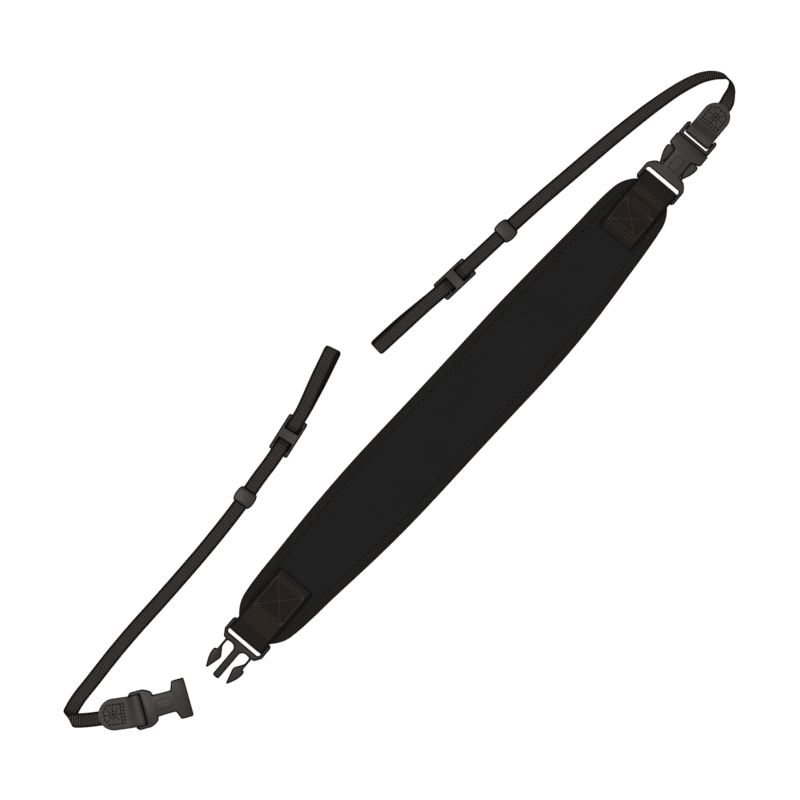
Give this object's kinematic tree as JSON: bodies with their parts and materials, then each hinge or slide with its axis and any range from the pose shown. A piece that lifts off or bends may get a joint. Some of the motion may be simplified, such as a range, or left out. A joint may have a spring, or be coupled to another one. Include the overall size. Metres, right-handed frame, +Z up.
{
  "type": "camera neck strap",
  "caption": "Padded neck strap with webbing tabs, side-release buckles, leather tabs and narrow adjustable straps that end in loops; one buckle fastened and one open.",
  "frame": {"origin": "middle of the neck pad's underside", "axes": "+X along the pad towards the fastened buckle, +Y across it towards the narrow straps, +Z up from the surface it lies on"},
  "size_m": [0.71, 0.1424, 0.0115],
  "materials": {
    "foam": "matt knitted cover laminated to foam",
    "binding": "matt woven binding tape, zigzag stitched",
    "webbing": "woven webbing",
    "plastic": "satin moulded acetal",
    "leather": "smooth black leather, stitched"
  },
  "bodies": {
    "root": {"neck_pad": "foam", "binding_front": "binding", "binding_back": "binding", "webbing_tab_left": "webbing", "webbing_tab_right": "webbing", "prongs_left": "plastic", "socket_right": "plastic", "prongs_right": "plastic", "socket_left": "plastic", "leather_tab_left": "leather", "leather_tab_right": "leather", "strap_left": "webbing", "strap_right": "webbing", "keeper_left": "plastic", "keeper_right": "plastic", "slider_left": "plastic", "slider_right": "plastic"}
  },
  "joints": []
}
